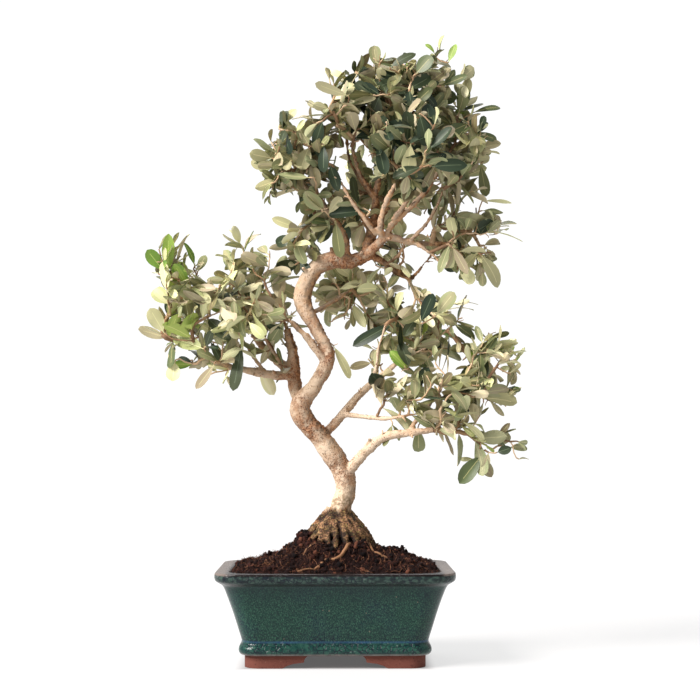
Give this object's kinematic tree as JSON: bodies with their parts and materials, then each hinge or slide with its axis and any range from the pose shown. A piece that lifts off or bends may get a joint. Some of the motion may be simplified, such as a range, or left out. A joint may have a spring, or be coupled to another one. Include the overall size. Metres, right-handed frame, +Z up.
{
  "type": "olive bonsai tree in a glazed pot",
  "caption": "Winding olive bonsai with tiers of narrow evergreen leaves, standing in a rectangular green glazed pot on clay feet.",
  "frame": {"origin": "middle of the whole tree and pot, at table level, on the plane of the feet's undersides; it lies under the middle of the pot", "axes": "+X to the right seen from the tree's front, +Y to the back, +Z up"},
  "size_m": [0.331, 0.19, 0.545],
  "materials": {
    "glaze": "gloss",
    "clay": "matte",
    "soil": "matte",
    "bark": "matte",
    "leaves": "satin"
  },
  "bodies": {
    "root": {"pot_body": "glaze", "pot_foot_front_left": "clay", "pot_foot_front_right": "clay", "pot_foot_back_left": "clay", "pot_foot_back_right": "clay", "soil": "soil", "trunk": "bark", "bough_left": "bark", "bough_left_low": "bark", "bough_left_back": "bark", "bough_left_inner": "bark", "bough_right_low": "bark", "bough_right_high": "bark", "bough_right_middle": "bark", "bough_middle": "bark", "bough_crown": "bark", "bough_crown_left": "bark", "bough_crown_right": "bark", "bough_crown_high": "bark", "bough_crown_front": "bark", "bough_crown_leader": "bark", "bough_crown_low": "bark", "foliage_crown_top": "leaves", "foliage_crown_top_left": "leaves", "foliage_crown_left": "leaves", "foliage_crown_left_low": "leaves", "foliage_crown_right": "leaves", "foliage_crown_right_low": "leaves", "foliage_crown_front": "leaves", "foliage_crown_back": "leaves", "foliage_middle": "leaves", "foliage_middle_low": "leaves", "foliage_left_tip": "leaves", "foliage_left_back": "leaves", "foliage_left_front": "leaves", "foliage_left_inner": "leaves", "foliage_left_low": "leaves", "foliage_right_inner": "leaves", "foliage_right_outer": "leaves", "foliage_right_low": "leaves", "foliage_right_tip": "leaves", "foliage_crown_hanging": "leaves"}
  },
  "joints": []
}
